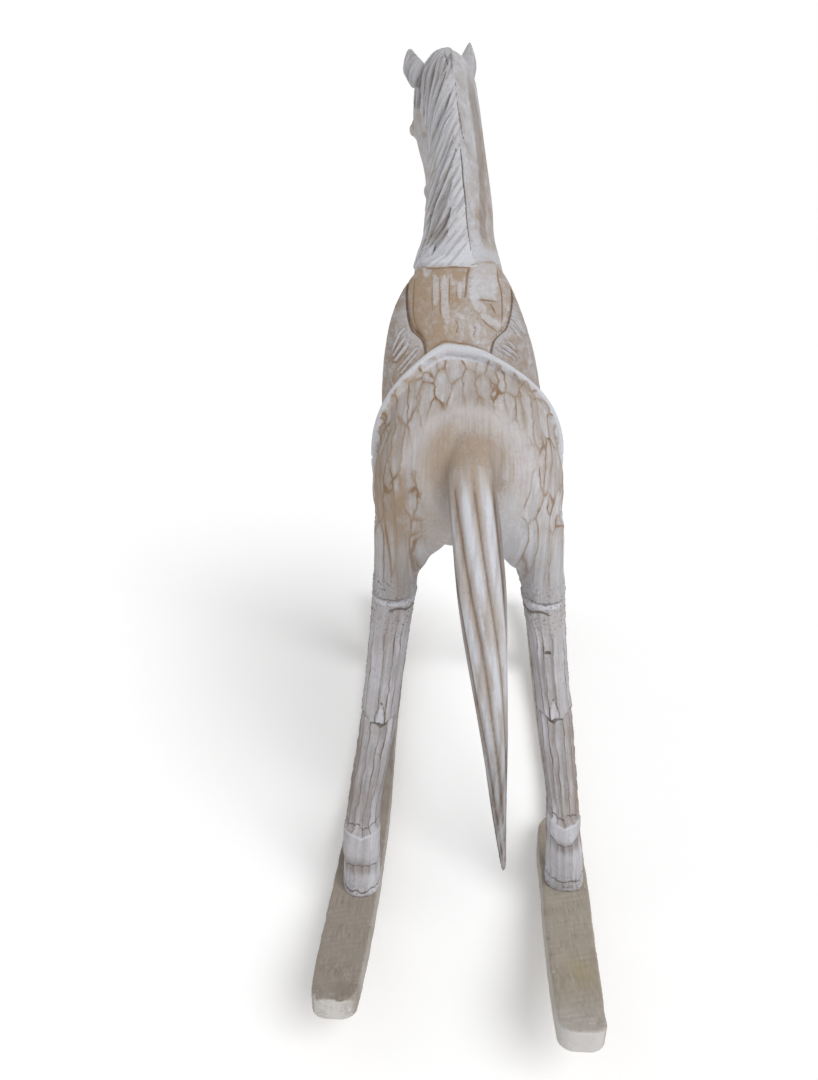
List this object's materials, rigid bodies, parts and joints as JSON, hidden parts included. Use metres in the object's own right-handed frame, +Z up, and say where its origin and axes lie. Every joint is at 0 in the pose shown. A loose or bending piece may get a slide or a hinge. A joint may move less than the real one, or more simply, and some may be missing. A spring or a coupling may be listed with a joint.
{
  "type": "wooden rocking horse",
  "caption": "Hand-carved limewashed wooden rocking horse with carved mane, saddle and long fluted tail, standing on curved runners.",
  "frame": {"origin": "on the floor, at the middle of the whole horse's bounding box", "axes": "+Z up, +Y forward (the way the horse faces and rocks), +X to the horse's right"},
  "size_m": [0.2857, 0.86, 0.8645],
  "materials": {
    "limed_body": "light wood with a white limewash rubbed back to the ridges, matt",
    "limed_legs": "light wood with a thinner, greyer limewash in long knife facets, matt",
    "bare_runners": "sanded grey-brown wood with a faint wash and chipped white at the ends, matt"
  },
  "bodies": {
    "root": {"horse_body": "limed_body", "leg_hind_left": "limed_legs", "leg_hind_right": "limed_legs", "leg_fore_left": "limed_legs", "leg_fore_right": "limed_legs", "runner_left": "bare_runners", "runner_right": "bare_runners"}
  },
  "joints": []
}
